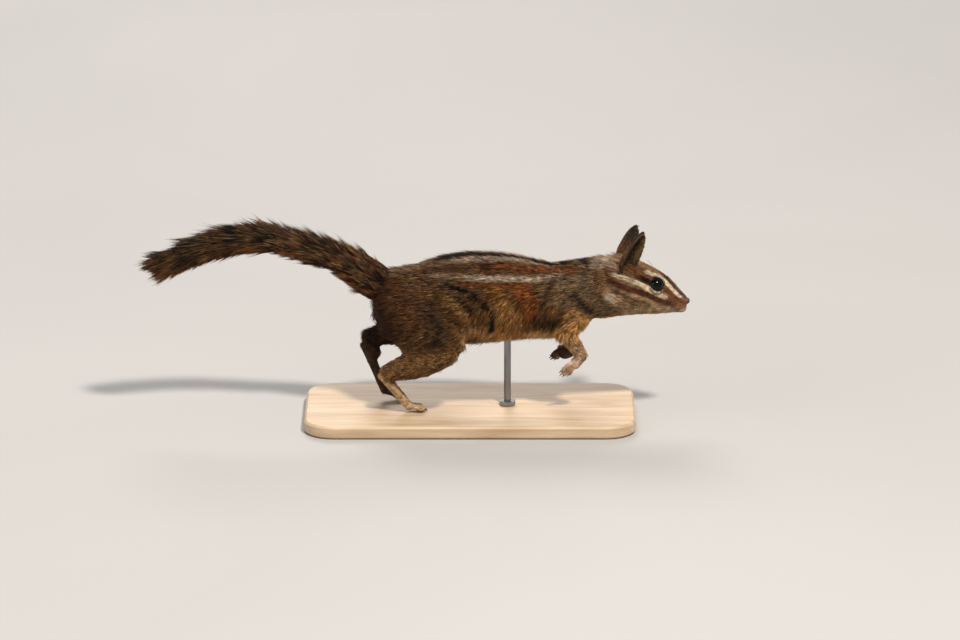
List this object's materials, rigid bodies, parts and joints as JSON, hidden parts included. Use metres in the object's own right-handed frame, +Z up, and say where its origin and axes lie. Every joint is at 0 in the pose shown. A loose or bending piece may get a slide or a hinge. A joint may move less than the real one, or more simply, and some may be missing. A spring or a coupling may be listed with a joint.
{
  "type": "chipmunk model",
  "caption": "Life-size still model of a striped chipmunk in mid-bound, bushy tail held out behind, hind toes on a flat display base with a slim rod to the belly.",
  "frame": {"origin": "centre of the underside of the display base", "axes": "+X the way the animal runs, +Y its left side, +Z up"},
  "size_m": [0.2167, 0.062, 0.0793],
  "materials": {
    "coat_body": "short fur, grizzled brown with striped back and face",
    "coat_tail": "long bushy hair, blackish brown frosted with buff",
    "ear_skin": "thin skin with very short dark hair",
    "paw_skin": "buff short-haired feet with small dark claws",
    "nose_skin": "bare moist skin",
    "eye": "wet glossy black-brown",
    "stand_wood": "pale matt sealed wood",
    "stand_steel": "fine brushed steel"
  },
  "bodies": {
    "root": {"torso": "coat_body", "neck": "coat_body", "head": "coat_body", "nose": "nose_skin", "eye_right": "eye", "eye_left": "eye", "ear_right": "ear_skin", "ear_left": "ear_skin", "foreleg_right": "coat_body", "forepaw_right": "paw_skin", "hindleg_right": "coat_body", "hindfoot_right": "paw_skin", "foreleg_left": "coat_body", "forepaw_left": "paw_skin", "hindleg_left": "coat_body", "hindfoot_left": "paw_skin", "tail_base": "coat_tail", "tail_middle": "coat_tail", "tail_tip": "coat_tail", "stand_base": "stand_wood", "stand_rod": "stand_steel"}
  },
  "joints": []
}
